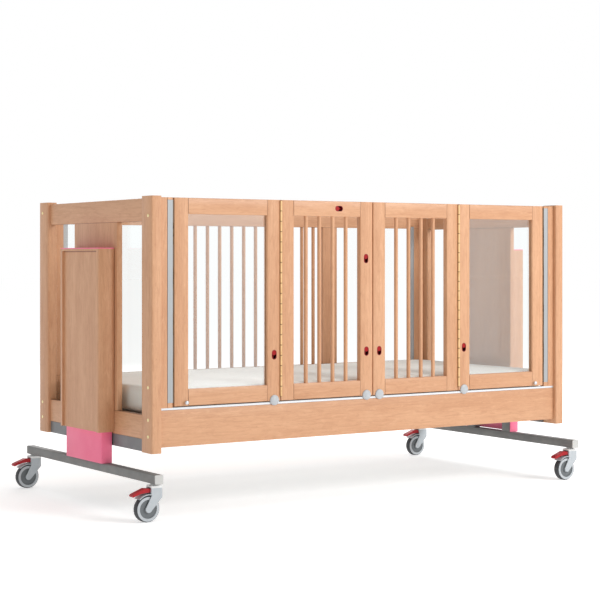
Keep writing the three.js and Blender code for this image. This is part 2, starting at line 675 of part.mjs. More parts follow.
// The welded lying frame: end beams, side beams, slats, and the carriages that run between the columns
function lyingFrame() {
  const beamX = [endOuter - BEAM_SETBACK - BEAM_WIDTH, endOuter - BEAM_SETBACK];
  const beamZ = [POST_FOOT, endBottom - FIT];
  const slatTop = mattressBottom - FIT;
  const sideZ = [boardBottom + SIDE_BEAM_RISE, slatTop - SLAT_THICKNESS + GLUE];
  const legZ = [POST_FOOT + BEAM_WALL - GLUE, sideZ[0] + GLUE];
  const pieces = [];
  for (const side of [-1, 1]) {
    const mirrored = ([a, b]) => [side * a, side * b].sort((p, q) => p - q);
    const beamY = [-postInnerY + FIT, postInnerY - FIT];
    pieces.push(box(mirrored(beamX), beamY, [beamZ[0], beamZ[0] + BEAM_WALL]));
    pieces.push(box(mirrored([beamX[1] - BEAM_WALL, beamX[1]]), beamY, beamZ));
    const spread = mirrored([beamY[1] - SIDE_BEAM_WIDTH, beamY[1]]);
    pieces.push(box([-endInner + FIT, endInner - FIT], spread, sideZ));
    pieces.push(box([-endInner + FIT, -beamX[0]], spread, legZ));
    pieces.push(box([beamX[0], endInner - FIT], spread, legZ));
    const carriageX = [footX - BAR_SIZE / 2, footX - BAR_SIZE / 2 + CARRIAGE_WALL];
    const half = COLUMN_SPREAD - COLUMN_WIDTH / 2 - PIN_PLAY;
    const carriageZ = [beamZ[0], beamZ[0] + CARRIAGE_HEIGHT];
    pieces.push(box(mirrored(carriageX), [-half, half], carriageZ));
    pieces.push(box(mirrored([beamX[1] - GLUE, carriageX[0] + GLUE]), [-half, half], beamZ));
    const flangeX = mirrored([carriageX[0], carriageX[0] + CARRIAGE_DEPTH]);
    pieces.push(box(flangeX, [-half, -half + CARRIAGE_WALL], carriageZ));
    pieces.push(box(flangeX, [half - CARRIAGE_WALL, half], carriageZ));
  }
  const slatRun = endPane[0] - SLAT_END_MARGIN;
  for (let i = 0; i < SLATS; i += 1) {
    const x = -slatRun + (2 * slatRun * i) / (SLATS - 1);
    const z = [slatTop - SLAT_THICKNESS, slatTop];
    pieces.push(box(around(x, SLAT_WIDTH), [SLAT_SIDE_GAP - wallInner, wallInner - SLAT_SIDE_GAP], z));
  }
  return join(...pieces);
}

// The mattress: a rounded outline whose sides draw in between the corners, swelling to a crown
function mattressOutline(halfLength, halfWidth) {
  const points = [];
  const corners = [[1, 1], [-1, 1], [-1, -1], [1, -1]];
  corners.forEach(([sx, sy], quarter) => {
    const middle = [sx * (halfLength - MATTRESS_CORNER), sy * (halfWidth - MATTRESS_CORNER)];
    for (let i = 0; i <= MATTRESS_CORNER_POINTS; i += 1) {
      const angle = (quarter + i / MATTRESS_CORNER_POINTS) * Math.PI / 2;
      const out = [Math.cos(angle), Math.sin(angle)];
      points.push({ x: middle[0] + MATTRESS_CORNER * out[0], y: middle[1] + MATTRESS_CORNER * out[1], out });
    }
    const last = points[points.length - 1];
    const [nx, ny] = corners[(quarter + 1) % corners.length];
    const alongX = quarter % 2 === 0;
    const end = alongX ? nx * (halfLength - MATTRESS_CORNER) : ny * (halfWidth - MATTRESS_CORNER);
    for (let i = 1; i < MATTRESS_SIDE_POINTS; i += 1) {
      const share = i / MATTRESS_SIDE_POINTS;
      const draw = MATTRESS_DRAW * Math.sin(Math.PI * share);
      const x = alongX ? last.x + (end - last.x) * share : last.x - last.out[0] * draw;
      const y = alongX ? last.y - last.out[1] * draw : last.y + (end - last.y) * share;
      points.push({ x, y, out: last.out });
    }
  });
  return points;
}

function mattress() {
  const halfLength = endPane[0] - MATTRESS_END_GAP;
  const outline = mattressOutline(halfLength, wallInner - MATTRESS_SIDE_GAP);
  const edgeTop = MATTRESS_THICKNESS - MATTRESS_CROWN;
  const sides = [[14, 0], [4, 5], [0, 18], [0, edgeTop - 16], [4, edgeTop - 4], [14, edgeTop]];
  const ring = ([inset, z]) => outline.map(({ x, y, out }) => [x - inset * out[0], y - inset * out[1], z]);
  const rings = sides.map(ring);
  const rim = rings[rings.length - 1];
  for (let i = MATTRESS_TOP_RINGS - 1; i > 0; i -= 1) {
    const share = i / MATTRESS_TOP_RINGS;
    rings.push(rim.map(([x, y]) => [x * share, y * share, edgeTop + MATTRESS_CROWN * (1 - share ** 3)]));
  }
  const count = outline.length;
  const vertices = [...rings.flat(), [0, 0, 0], [0, 0, MATTRESS_THICKNESS]];
  const bottomCentre = vertices.length - 2;
  const topCentre = vertices.length - 1;
  const lastRing = (rings.length - 1) * count;
  const faces = [];
  for (let i = 0; i < count; i += 1) {
    const next = (i + 1) % count;
    for (let row = 0; row < rings.length - 1; row += 1) {
      const low = row * count;
      const high = low + count;
      faces.push(low + i, low + next, high + next, low + i, high + next, high + i);
    }
    faces.push(bottomCentre, next, i, topCentre, lastRing + i, lastRing + next);
  }
  const geometry = new THREE.BufferGeometry();
  geometry.setAttribute('position', new THREE.Float32BufferAttribute(vertices.flat(), 3));
  geometry.setIndex(faces);
  return geometry.translate(0, 0, mattressBottom);
}

// Castor pieces
function wheel() {
  const half = WHEEL_WIDTH / 2;
  const dish = half - WHEEL_DISH;
  const bore = AXLE_RADIUS + AXLE_PLAY;
  const rim = WHEEL_RADIUS - WHEEL_RIM_DEPTH;
  const shoulder = WHEEL_RADIUS - WHEEL_SHOULDER_DEPTH;
  const hub = [[bore, half], [HUB_RADIUS, half], [HUB_RADIUS, dish]];
  const side = [...hub, [rim, dish], [rim, half], [shoulder, half], [WHEEL_RADIUS, WHEEL_TREAD / 2]];
  const profile = [...side.map(([r, h]) => [r, -h]), ...side.reverse(), [bore, -half]];
  const points = profile.map(([r, h]) => new THREE.Vector2(r, h));
  const turned = new THREE.LatheGeometry(points, WHEEL_SIDES, Math.PI / WHEEL_SIDES);
  return turned.translate(CASTOR_TRAIL, 0, axleZ);
}

// The fork's side view: head, short fender over the wheel, and a leg down to the axle
function forkOutline() {
  const rise = [-CASTOR_TRAIL, forkTop - PEDAL_SLOT_HEIGHT - axleZ];
  const leg = Math.atan2(rise[1], rise[0]) - Math.PI / 2;
  const onFender = (radius, x) => axleZ + Math.sqrt(radius ** 2 - (x - CASTOR_TRAIL) ** 2);
  const boss = [CASTOR_TRAIL + FORK_BOSS * Math.cos(leg), axleZ + FORK_BOSS * Math.sin(leg)];
  const along = [Math.cos(leg + Math.PI / 2), Math.sin(leg + Math.PI / 2)];
  const reach = Math.sqrt(fenderInner ** 2 - FORK_BOSS ** 2);
  const meet = [boss[0] + along[0] * reach, boss[1] + along[1] * reach];
  const meetAngle = Math.atan2(meet[1] - axleZ, meet[0] - CASTOR_TRAIL);
  const headAngle = Math.atan2(onFender(fenderOuter, FORK_FRONT) - axleZ, FORK_FRONT - CASTOR_TRAIL);
  const shape = new THREE.Shape();
  shape.moveTo(-FORK_BACK, CASTOR_HEIGHT - FORK_SHOULDER_DROP);
  shape.lineTo(-FORK_BACK, forkTop);
  shape.lineTo(FORK_FRONT, forkTop);
  shape.absarc(CASTOR_TRAIL, axleZ, fenderOuter, headAngle, FENDER_END, true);
  shape.absarc(CASTOR_TRAIL, axleZ, fenderInner, FENDER_END, meetAngle, false);
  shape.lineTo(boss[0], boss[1]);
  shape.absarc(CASTOR_TRAIL, axleZ, FORK_BOSS, leg, leg - Math.PI, true);
  return shape;
}

function fork() {
  const settings = { depth: FORK_WIDTH, bevelEnabled: false, curveSegments: 4 };
  const body = new THREE.ExtrudeGeometry(forkOutline(), settings);
  body.translate(0, 0, -FORK_WIDTH / 2).applyMatrix4(AXES.y);
  const inside = FORK_WIDTH - 2 * FORK_WALL;
  const wheelSpace = rod('y', around(0, inside), [CASTOR_TRAIL, axleZ], fenderInner - GLUE, 2 * WHEEL_SIDES);
  const [pivotX, pivotZ] = pedalPivot;
  const slotX = [pivotX - PEDAL_ROOT - GLUE, FORK_FRONT + GLUE];
  const slot = box(slotX, around(0, PEDAL_WIDTH + 2 * GLUE), around(pivotZ, PEDAL_SLOT_HEIGHT));
  const pin = rod('y', around(0, FORK_WIDTH - FORK_WALL), [pivotX, pivotZ], PEDAL_PIN_RADIUS, BOLT_SIDES);
  const axle = rod('y', around(0, FORK_WIDTH - FORK_WALL), [CASTOR_TRAIL, axleZ], AXLE_RADIUS, BOLT_SIDES);
  const stem = rod('z', [forkTop - GLUE, forkTop + STEM_LENGTH], [0, 0], STEM_RADIUS, BOLT_SIDES);
  return join(cut(body, wheelSpace, slot), pin, axle, stem);
}

function pedal() {
  const [x, z] = pedalPivot;
  const shape = new THREE.Shape();
  shape.moveTo(x, z + PEDAL_ROOT);
  shape.lineTo(x + 28, z + 9);
  shape.lineTo(PEDAL_REACH - 4, z - 10);
  shape.lineTo(PEDAL_REACH, z - 16);
  shape.lineTo(PEDAL_REACH - 4, z - 21);
  shape.lineTo(x + 44, z - 9.5);
  shape.lineTo(x, z - PEDAL_ROOT);
  shape.absarc(x, z, PEDAL_ROOT, -Math.PI / 2, Math.PI / 2, true);
  const lever = extrude(shape, 'y', around(0, PEDAL_WIDTH));
  const bore = rod('y', around(0, PEDAL_WIDTH + 2 * GLUE), [x, z], PEDAL_PIN_RADIUS + PIN_PLAY, BOLT_SIDES);
  return cut(lever, bore);
}

// The cot stands with the middle of its whole outline over the origin, the trailing castors included.
const leftReach = footX + PEDAL_REACH;
const rightReach = Math.max(coverOuter, footX + FORK_BACK);
const product = new THREE.Group();
product.name = 'pediatric_hospital_cot';
product.userData.at = new THREE.Vector3();
const cot = pivot(product, 0, 0, 0);
cot.position.x = (leftReach - rightReach) / 2;

add(cot, 'side_board_front', beech, sideBoard(frontWall));
add(cot, 'side_board_rear', beech, sideBoard(rearWall));
add(cot, 'door_track', aluminium, doorTrack());
add(cot, 'rear_frame', beech, rearFrame());
add(cot, 'lying_frame', steel, lyingFrame());
add(cot, 'mattress', cover, mattress());

const discX = innerDoor[0] + DISC_INSET;
const innerCatch = uprightCatch(discX, lowCatchZ, doorBottom + FIT, doorBottom - GLUE);
const outerCatch = uprightCatch(FOLD_X + DISC_INSET, lowCatchZ, doorBottom + FIT, doorBottom - GLUE);
const highCatchZ = doorBottom + HIGH_CATCH_RISE;
const highBoltEnd = highCatchZ - POCKET_LENGTH / 2 - HIGH_CATCH_TAIL;
const highBoreEnd = highBoltEnd - (POCKET_LENGTH - SLIDER_LENGTH);
const highCatch = uprightCatch(discX + 2, highCatchZ, highBoltEnd, highBoreEnd);
const topCatch = {
  x: TOP_CATCH_X,
  z: wallTop - TOP_CATCH_DROP,
  upright: false,
  boltEnd: innerDoor[0] + FIT,
  boreEnd: innerDoor[0] - GLUE,
};

// The two halves mirror each other, apart from the catches on the left inner door
for (const [name, side] of [['left', -1], ['right', 1]]) {
  const half = pivot(cot, 0, 0, 0);
  half.scale.x = side;
  add(half, `post_front_${name}`, beech, frontPost());
  add(half, `post_rear_${name}`, beech, post([postInnerY, postOuterY]));
  add(half, `end_frame_${name}`, beech, endFrame());
  add(half, `end_pane_${name}`, clear, endSheet());
  add(half, `column_cover_${name}`, beech, columnCover());
  add(half, `column_lid_${name}`, pink, columnLid());
  add(half, `rear_pane_${name}`, clear, rearPane());
  add(half, `jamb_strip_${name}`, aluminium, jambStrip());

  const outer = pivot(half, jambHinge.x, jambHinge.y, 0);
  add(outer, `outer_door_${name}`, beech, outerDoorFrame([outerCatch]));
  add(outer, `outer_door_pane_${name}`, clear, outerDoorPane());
  add(outer, `door_leaf_${name}`, bronze, doorLeaf());
  add(outer, `piano_outer_leaf_${name}`, brass, pianoOuterLeaf());
  add(outer, `outer_stop_disc_${name}`, greyPlastic, stopDisc(FOLD_X + DISC_INSET));
  const outerSlider = pivot(outer, outerCatch.x, boltY, outerCatch.z);
  add(outerSlider, `outer_catch_${name}`, redPlastic, catchSlider(outerCatch));

  const inner = pivot(outer, foldHinge.x, foldHinge.y, 0);
  const catches = name === 'left' ? [innerCatch, highCatch, topCatch] : [innerCatch];
  const plainDoor = innerDoorFrame(catches);
  add(inner, `inner_door_${name}`, beech, name === 'left' ? plainDoor : cut(plainDoor, boltKeep()));
  add(inner, `piano_inner_leaf_${name}`, brass, pianoInnerLeaf());
  add(inner, `inner_stop_disc_${name}`, greyPlastic, stopDisc(discX));
  const innerSlider = pivot(inner, innerCatch.x, boltY, innerCatch.z);
  add(innerSlider, `inner_catch_${name}`, redPlastic, catchSlider(innerCatch));
  if (name === 'left') {
    const highSlider = pivot(inner, highCatch.x, boltY, highCatch.z);
    add(highSlider, 'high_catch', redPlastic, catchSlider(highCatch));
    const topSlider = pivot(inner, topCatch.x, boltY, topCatch.z);
    add(topSlider, 'top_catch', redPlastic, catchSlider(topCatch));
  }

  const footGroup = pivot(half, footX, 0, barTop);
  add(footGroup, `foot_${name}`, steel, foot());
  add(footGroup, `lift_cover_${name}`, pink, liftCover());
}

// All castors trail towards the left end, as they do when the cot was last pushed to the right
for (const [end, side] of [['left', -1], ['right', 1]]) {
  for (const [place, row] of [['front', -1], ['rear', 1]]) {
    const castor = pivot(cot, side * footX, row * castorY, 0);
    castor.rotation.z = Math.PI;
    castor.userData.at.set(0, 0, 0);
    add(castor, `fork_${place}_${end}`, forkPlastic, fork());
    const hub = pivot(castor, CASTOR_TRAIL, 0, axleZ);
    add(hub, `wheel_${place}_${end}`, wheelRubber, wheel());
    const lever = pivot(castor, pedalPivot[0], 0, pedalPivot[1]);
    add(lever, `pedal_${place}_${end}`, redPlastic, pedal());
  }
}

export default product;
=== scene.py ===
import math

import bmesh
import bpy
from mathutils import Matrix, Vector


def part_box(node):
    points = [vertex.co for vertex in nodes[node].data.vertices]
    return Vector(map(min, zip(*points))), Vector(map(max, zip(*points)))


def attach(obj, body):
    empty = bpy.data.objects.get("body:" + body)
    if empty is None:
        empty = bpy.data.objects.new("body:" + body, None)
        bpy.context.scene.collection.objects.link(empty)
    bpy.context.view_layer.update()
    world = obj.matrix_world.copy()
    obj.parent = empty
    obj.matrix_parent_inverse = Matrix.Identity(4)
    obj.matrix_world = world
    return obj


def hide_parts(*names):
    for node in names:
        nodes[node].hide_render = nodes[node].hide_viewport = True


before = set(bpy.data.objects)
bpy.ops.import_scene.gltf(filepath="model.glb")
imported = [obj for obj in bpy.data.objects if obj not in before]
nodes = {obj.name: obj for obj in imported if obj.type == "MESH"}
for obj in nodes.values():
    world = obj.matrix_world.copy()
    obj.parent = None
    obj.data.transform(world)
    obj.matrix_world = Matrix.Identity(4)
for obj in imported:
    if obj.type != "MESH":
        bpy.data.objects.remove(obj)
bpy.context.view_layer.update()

SIDES = (("left", -1), ("right", 1))

# Flat part of a jamb strip, beside its hinge knuckles
STRIP_FLAT = 0.0224

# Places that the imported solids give, in metres; x is counted from the middle of the cot
MIDDLE_X = sum(corner.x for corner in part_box("side_board_front")) / 2
FRONT_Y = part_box("side_board_front")[0].y
REAR_INNER_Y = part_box("rear_frame")[0].y
POST_FACE_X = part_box("post_front_right")[1].x - MIDDLE_X
BAR_END_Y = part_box("foot_left")[1].y
JAMB_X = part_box("jamb_strip_right")[1].x - MIDDLE_X - STRIP_FLAT
COVER_FACE = MIDDLE_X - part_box("column_cover_left")[0].x
COVER_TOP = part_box("column_cover_left")[1].z
COVER_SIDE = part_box("column_cover_left")[1].y

# Rows where rails meet stiles: (lower rail's top, upper rail's bottom)
DOOR_WINDOW = (0.487, 1.164)
REAR_WINDOW = (0.4873, 1.141)
END_WINDOW = (0.389, 1.136)
PANE_LAP = 0.010

# Doors: edges and stiles, and the places of the catches
INNER_DOOR = (0.002, 0.45555)
OUTER_DOOR = (0.45845, 0.9435)
DOOR_STILE = 0.062
LOW_CATCH_Z = 0.6075
INNER_CATCH_X = 0.033
OUTER_CATCH_X = 0.488
HIGH_CATCH = (-0.035, 0.992)
TOP_CATCH = (-0.1715, 1.197)

# Catch pockets: capsule radius, half its straight length, red rim, and depths behind the door's face: where the
# painted shade inside starts and is full, and where the liner ends
POCKET_RADIUS = 0.010
POCKET_STRAIGHT = 0.008
POCKET_RIM = (0.0014, 0.0018)
POCKET_SHADE = (0.0015, 0.006)
POCKET_END = (0.019, 0.020)

# Column covers: lips round the panel, how far it is set back, and the shade under the top lip
COVER_LIP = 0.018
COVER_TOP_LIP = 0.008
COVER_INSET = 0.009
COVER_SHADE = (0.007, 0.003)
PANEL_SKIN = (0.0003, 0.0006)

# Foot bars and castors: end plugs, collars, the ring over the fork, and bands of the wheel's radius
PLUG_THICKNESS = 0.003
COLLAR_TOP = 0.143
FORK_RING = 0.128
WHEEL_BOSS = (0.0136, 0.014)
WHEEL_HUB = (0.0355, 0.036)
WHEEL_TREAD = (0.0462, 0.0468)

# Piano hinges: knuckles, the width of the painted shade in the gaps between them, and the screws in the leaves, with
# painted shade in their slots and round their heads
PIANO_KNUCKLES = 19
KNUCKLE_GAP_SHADE = 0.002
KNUCKLE_BACK = 0.001
LEAF_SCREW_DEPTH = 0.0105
SCREW_HEAD = (0.0031, 0.0034)
SCREW_RIM = (0.0026, 0.0029)
SCREW_SLOT = (0.0003, 0.0005)

# Widths over which painted edges change
SHARP = 1e-5
FEATHER = 0.0002
JOINT_LINE = 0.0011


def tone(red, green, blue):
    """A colour given in screen values from 0 to 255, as linear light."""
    def linear(value):
        share = value / 255
        return share / 12.92 if share <= 0.04045 else ((share + 0.055) / 1.055) ** 2.4
    return (linear(red), linear(green), linear(blue), 1.0)


class Flow:
    """One socket in a finish; arithmetic on it adds Math nodes."""

    def __init__(self, finish, socket):
        self.finish = finish
        self.socket = socket

    def math(self, operation, *values):
        return self.finish.node("ShaderNodeMath", {"operation": operation}, values)

    def __add__(self, other):
        return self.math("ADD", self, other)

    def __radd__(self, other):
        return self.math("ADD", other, self)

    def __sub__(self, other):
        return self.math("SUBTRACT", self, other)

    def __rsub__(self, other):
        return self.math("SUBTRACT", other, self)

    def __mul__(self, other):
        return self.math("MULTIPLY", self, other)

    def __truediv__(self, other):
        return self.math("DIVIDE", self, other)

    def __pow__(self, other):
        return self.math("POWER", self, other)

    def __abs__(self):
        return self.math("ABSOLUTE", self)

    def at_least(self, least):
        return self.math("MAXIMUM", self, least)

    def sine(self):
        return self.math("SINE", self)

    def fraction(self):
        return self.math("FRACT", self)


class Finish:
    """A procedural material on Object coordinates, built around one Principled shader."""

    def __init__(self, name, **constants):
        self.material = bpy.data.materials.new(name)
        self.material.use_nodes = True
        self.tree = self.material.node_tree
        self.shader = self.tree.nodes["Principled BSDF"]
        self.output = self.tree.nodes["Material Output"]
        for socket, value in constants.items():
            self.shader.inputs[socket.replace("_", " ")].default_value = value

    def node(self, kind, settings, inputs, output=0):
        """Adds a node and gives one of its outputs; inputs are by number or by name."""
        made = self.tree.nodes.new(kind)
        for name, value in settings.items():
            setattr(made, name, value)
        pairs = inputs.items() if isinstance(inputs, dict) else enumerate(inputs)
        for key, value in pairs:
            self.feed(made.inputs[key], value)
        return Flow(self, made.outputs[output])

    def feed(self, socket, value):
        if isinstance(value, Flow):
            self.tree.links.new(value.socket, socket)
        else:
            socket.default_value = value

    def place(self):
        """x, y and z on the piece, with x counted from the middle of the cot."""
        where = self.node("ShaderNodeTexCoord", {}, (), "Object")
        parts = [self.node("ShaderNodeSeparateXYZ", {}, (where,), axis) for axis in "XYZ"]
        return parts[0] - MIDDLE_X, parts[1], parts[2]

    def vector(self, x, y, z):
        return self.node("ShaderNodeCombineXYZ", {}, (x, y, z))

    def noise(self, vector, scale, detail=2.0, roughness=0.5, distortion=0.0):
        inputs = {"Vector": vector, "Scale": scale, "Detail": detail}
        inputs.update({"Roughness": roughness, "Distortion": distortion})
        return self.node("ShaderNodeTexNoise", {}, inputs, "Fac")

    def rise(self, value, low, high):
        """0 below low, 1 above high, smooth between them."""
        settings = {"interpolation_type": "SMOOTHSTEP"}
        inputs = {"Value": value, "From Min": low, "From Max": high}
        return self.node("ShaderNodeMapRange", settings, inputs)

    def mix(self, share, first, second):
        settings = {"data_type": "RGBA"}
        return self.node("ShaderNodeMix", settings, {0: share, 6: first, 7: second}, 2)

    def paint(self, colour, roughness=None):
        self.feed(self.shader.inputs["Base Color"], colour)
        if roughness is not None:
            self.feed(self.shader.inputs["Roughness"], roughness)

    def painted(self):
        """The colour painted so far."""
        return Flow(self, self.shader.inputs["Base Color"].links[0].from_socket)

    def emboss(self, height, strength, distance):
        inputs = {"Strength": strength, "Distance": distance, "Height": height}
        self.feed(self.shader.inputs["Normal"], self.node("ShaderNodeBump", {}, inputs))


# Timber

BEECH_LIGHT = tone(226, 178, 140)
BEECH_PALE = tone(213, 162, 123)
BEECH_MID = tone(202, 149, 110)
BEECH_DEEP = tone(176, 120, 82)
BEECH_FLECK = tone(146, 94, 62)
# Dark brown for joint lines, and for the painted shadow under a column cover's top lip
SEAM_AND_SHADOW_BROWN = tone(118, 74, 46)
CATCH_RED = tone(132, 14, 20)
CATCH_PAINTED_SHADE = tone(52, 4, 6)

# Grain: scale along and across the timber, then detail, roughness and distortion
BROAD_GRAIN = (1.1, 9, 3, 0.55, 0.6)
STREAK_GRAIN = (5, 150, 3, 0.6, 0.4)
FIGURE_GRAIN = (13, 70, 3, 0.6, 1.4)
FLECK_GRAIN = (75, 620, 1, 0.5, 0.0)

# How far the grain of a rail lies from the grain of its stiles
RAIL_SHIFT = 3.7


def beech(name, seed, along="z", rails=None, catches=(), seams_and_shadow=None):
    """Lacquered beech: soft streaks, a wavy figure, dark flecks, and rails whose grain runs across the stiles."""
    finish = Finish(name, Coat_Weight=0.12, Coat_Roughness=0.25)
    x, y, z = finish.place()
    spots = {"x": x, "y": y, "z": z}
    across = [axis for axis in "xyz" if axis != along]
    length, width, depth = spots[along], spots[across[0]], spots[across[1]]
    if rails:
        turned_axis, mask = rails[0], rails[1](finish, x, y, z)
        other = next(axis for axis in "xyz" if axis not in (along, turned_axis))
        length = spots[along] * (1 - mask) + spots[turned_axis] * mask
        width = spots[turned_axis] * (1 - mask) + spots[along] * mask
        depth = spots[other]
        seed = mask * RAIL_SHIFT + seed

    def grain(stretch, spread, *shape):
        where = finish.vector(length * stretch + seed, width * spread, depth * spread)
        return finish.noise(where, 1.0, *shape)

    broad, streak, figure = grain(*BROAD_GRAIN), grain(*STREAK_GRAIN), grain(*FIGURE_GRAIN)
    flecks = finish.rise(grain(*FLECK_GRAIN), 0.62, 0.74)
    colour = finish.mix(finish.rise(broad, 0.32, 0.68), BEECH_PALE, BEECH_MID)
    colour = finish.mix(finish.rise(streak, 0.45, 0.75) * 0.32, colour, BEECH_DEEP)
    colour = finish.mix(finish.rise(figure, 0.48, 0.72) * 0.3, colour, BEECH_DEEP)
    colour = finish.mix((1 - finish.rise(figure, 0.3, 0.46)) * 0.3, colour, BEECH_LIGHT)
    colour = finish.mix(flecks * 0.24, colour, BEECH_FLECK)
    # Dark joint lines, and on column covers a painted shadow under the top lip, mixed in dark brown
    if seams_and_shadow:
        colour = finish.mix(seams_and_shadow(finish, x, y, z) * 0.75, colour, SEAM_AND_SHADOW_BROWN)
    for centre_x, centre_z, upright in catches:
        # Red liner round each catch pocket, with painted shade inside it
        rim, hollow_shade = pocket_masks(finish, (x, y, z), centre_x, centre_z, upright)
        colour = finish.mix(rim, colour, CATCH_RED)
        colour = finish.mix(hollow_shade, colour, CATCH_PAINTED_SHADE)
    finish.paint(colour, 0.4 + streak * 0.16)
    finish.emboss(streak * 0.6 - flecks * 0.5, 0.18, 0.0004)
    return finish.material


def pocket_masks(finish, place, centre_x, centre_z, upright):
    """The red liner of a catch pocket: its rim on the door's face, and a painted shade that darkens it deeper inside.
    """
    x, y, z = place
    off_x, off_z = abs(x - centre_x), abs(z - centre_z)
    if upright:
        off_z = (off_z - POCKET_STRAIGHT).at_least(0.0)
    else:
        off_x = (off_x - POCKET_STRAIGHT).at_least(0.0)
    reach = (off_x * off_x + off_z * off_z) ** 0.5
    front = 1 - finish.rise(y, *(FRONT_Y + depth for depth in POCKET_END))
    rim = (1 - finish.rise(reach, *(POCKET_RADIUS + width for width in POCKET_RIM))) * front
    # Painted shade: darker deeper inside the pocket
    hollow_shade = rim * finish.rise(y, *(FRONT_Y + depth for depth in POCKET_SHADE))
    return rim, hollow_shade


def outside(finish, value, span):
    """1 below and above a span, 0 within it."""
    low, high = span
    return 1 - finish.rise(value, low - SHARP, low) + finish.rise(value, high, high + SHARP)


def lines_at(finish, value, places):
    """1 on a thin line wherever a value reaches one of two places."""
    first, second = (1 - finish.rise(abs(value - place), JOINT_LINE * 0.5, JOINT_LINE) for place in places)
    return first + second


def door_rails(stiles):
    """Marks a door's rails: between its stiles, above and below its window."""
    def mask(finish, x, y, z):
        return (1 - outside(finish, x, stiles)) * outside(finish, z, DOOR_WINDOW)
    return ("x", mask)


def door_seams(stiles):
    """Joint lines where a door's rails meet its stiles."""
    def mask(finish, x, y, z):
        return lines_at(finish, x, stiles) * outside(finish, z, DOOR_WINDOW)
    return mask


def wall_rails(axis, window):
    """Marks a wall's rails, above and below its windows; their grain runs along the axis."""
    def mask(finish, x, y, z):
        return outside(finish, z, window)
    return (axis, mask)


def wall_seams(window):
    """Joint lines where a wall's uprights meet its rails."""
    def mask(finish, x, y, z):
        return lines_at(finish, z, window)
    return mask


def cover_lip_shadow(finish, x, y, z):
    """The painted shadow under a column cover's top lip: a dark line on the panel set back below it."""
    lip, inner_side, panel_face = COVER_TOP - COVER_TOP_LIP, COVER_SIDE - COVER_LIP, COVER_FACE - COVER_INSET
    under = finish.rise(z, *(lip - drop for drop in COVER_SHADE))
    between = 1 - finish.rise(abs(y), inner_side - SHARP, inner_side)
    panel = 1 - finish.rise(abs(x), *(panel_face + skin for skin in PANEL_SKIN))
    return under * between * panel


# Other finishes

STRIP_GREYS = (tone(150, 153, 155), tone(176, 179, 180))
TRACK_GREYS = (tone(204, 207, 210), tone(230, 233, 236))
BRUSH_ALONG = 6
BRUSH_ACROSS = 1800
WEAVE = 5200


def clear_sheet(name, gloss):
    """Clear acrylic: see-through face on, mirroring at a slant."""
    finish = Finish(name, Roughness=0.03, Metallic=1.0)
    finish.paint(tone(250, 252, 252))
    see_through = finish.node("ShaderNodeBsdfTransparent", {}, {"Color": tone(254, 255, 255)})
    slant = finish.node("ShaderNodeLayerWeight", {}, {"Blend": 0.5}, "Facing")
    surface = Flow(finish, finish.shader.outputs[0])
    mixed = finish.node("ShaderNodeMixShader", {}, (slant ** 4 * 0.5 + gloss, see_through, surface))
    finish.feed(finish.output.inputs["Surface"], mixed)
    return finish.material


def powder_coat(name, colour, lighter, roughness=0.42):
    """Powder-coated steel: faint mottling and a fine orange-peel surface."""
    finish = Finish(name)
    where = finish.vector(*finish.place())
    mottle = finish.noise(where, 14, 3)
    peel = finish.noise(where, 900, 2)
    finish.paint(finish.mix(finish.rise(mottle, 0.3, 0.7), colour, lighter), roughness + mottle * 0.12)
    finish.emboss(peel, 0.12, 0.0003)
    return finish


def foot_coat():
    """Grey coated tube with pale plugs in its ends and white castor collars below it."""
    finish = powder_coat("foot_grey", tone(113, 113, 112), tone(127, 127, 125))
    x, y, z = finish.place()
    plug = BAR_END_Y - PLUG_THICKNESS
    colour = finish.mix(finish.rise(abs(y), plug - FEATHER, plug), finish.painted(), tone(198, 198, 195))
    collar = 1 - finish.rise(z, COLLAR_TOP - FEATHER, COLLAR_TOP)
    finish.paint(finish.mix(collar, colour, tone(204, 206, 206)))
    return finish.material


def brushed_aluminium(name, along, dull, bright, knuckles=None):
    """Brushed aluminium, its lines running along the strip, with dark hinge knuckles up to a given distance."""
    finish = Finish(name, Metallic=0.35)
    x, y, z = finish.place()
    spread = {axis: BRUSH_ALONG if axis == along else BRUSH_ACROSS for axis in "xyz"}
    brush = finish.noise(finish.vector(x * spread["x"], y * spread["y"], z * spread["z"]), 1.0, 2)
    colour = finish.mix(brush, dull, bright)
    if knuckles:
        knuckle = 1 - finish.rise(abs(x), knuckles + 0.0001, knuckles + 0.0003)
        colour = finish.mix(knuckle, colour, tone(96, 76, 58))
    finish.paint(colour, 0.4 + brush * 0.2)
    finish.emboss(brush, 0.1, 0.0002)
    return finish.material


def hinge_metal(name, bright, dull, metallic=1.0):
    """Drawn hinge metal with faint tarnish."""
    finish = Finish(name, Metallic=metallic)
    where = finish.vector(*finish.place())
    tarnish = finish.noise(where, 60, 4, 0.6)
    finish.paint(finish.mix(finish.rise(tarnish, 0.4, 0.75), bright, dull), 0.26 + tarnish * 0.22)
    return finish.material


def wrapped(value, period):
    """The distance from the nearest multiple of a period, below or above it."""
    return ((value / period + 0.5).fraction() - 0.5) * period


